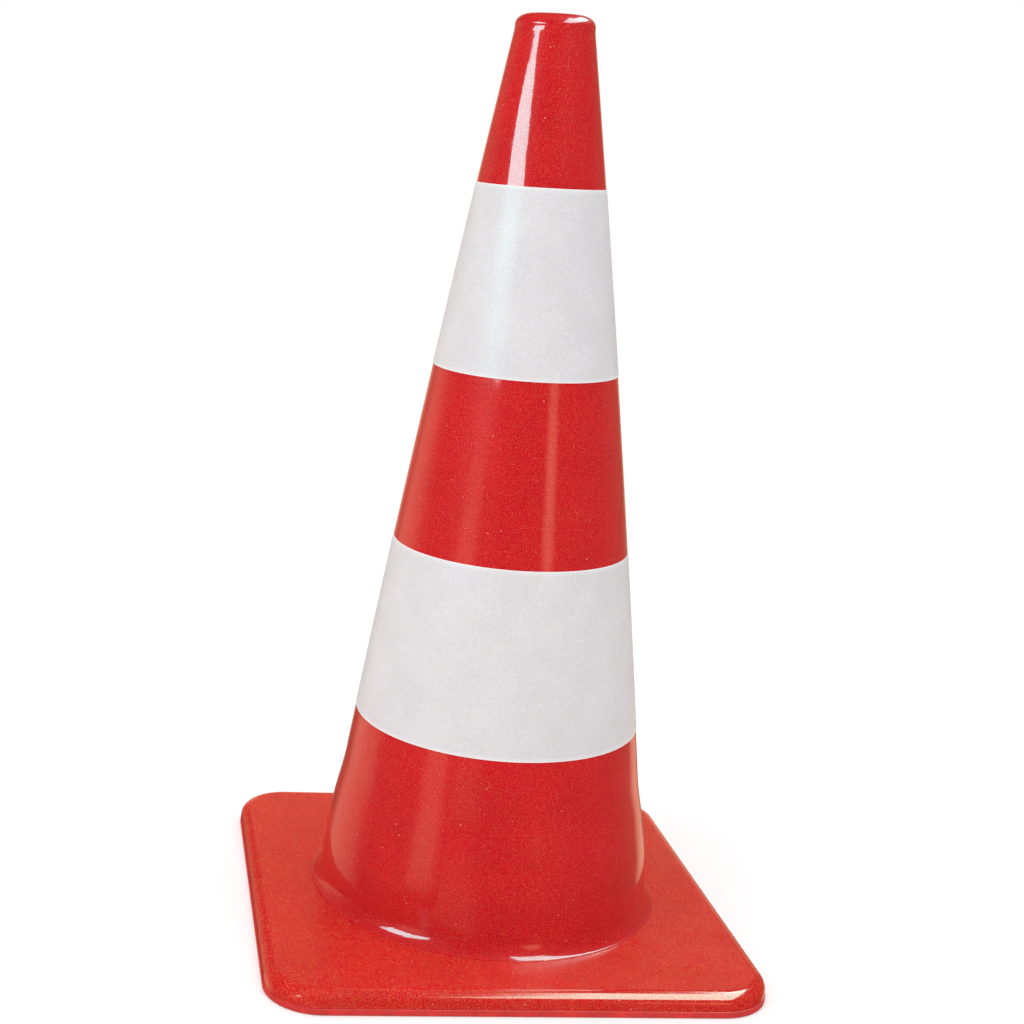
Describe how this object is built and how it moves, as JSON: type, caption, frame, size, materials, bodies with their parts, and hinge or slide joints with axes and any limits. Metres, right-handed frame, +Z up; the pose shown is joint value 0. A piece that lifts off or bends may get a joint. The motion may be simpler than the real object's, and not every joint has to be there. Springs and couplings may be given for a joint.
{
  "type": "traffic cone",
  "caption": "Hollow tapered safety cone with an open top and wide reflective bands, bonded to a square weighted base; it warns and guides people and stacks over other cones.",
  "frame": {"origin": "middle of the underside of the base, on the axis of the cone", "axes": "+Z up along the cone's axis; +X and +Y square to the sides of the base"},
  "size_m": [0.4018, 0.4018, 0.75],
  "materials": {
    "cone_pvc": "glossy flexible PVC",
    "base_pvc": "high-gloss flexible PVC",
    "sole_pvc": "satin filled PVC",
    "reflective_film": "glass-bead retroreflective film"
  },
  "bodies": {
    "root": {"cone_body": "cone_pvc", "base_shell": "base_pvc", "base_sole": "sole_pvc", "upper_band": "reflective_film", "lower_band": "reflective_film"}
  },
  "joints": []
}
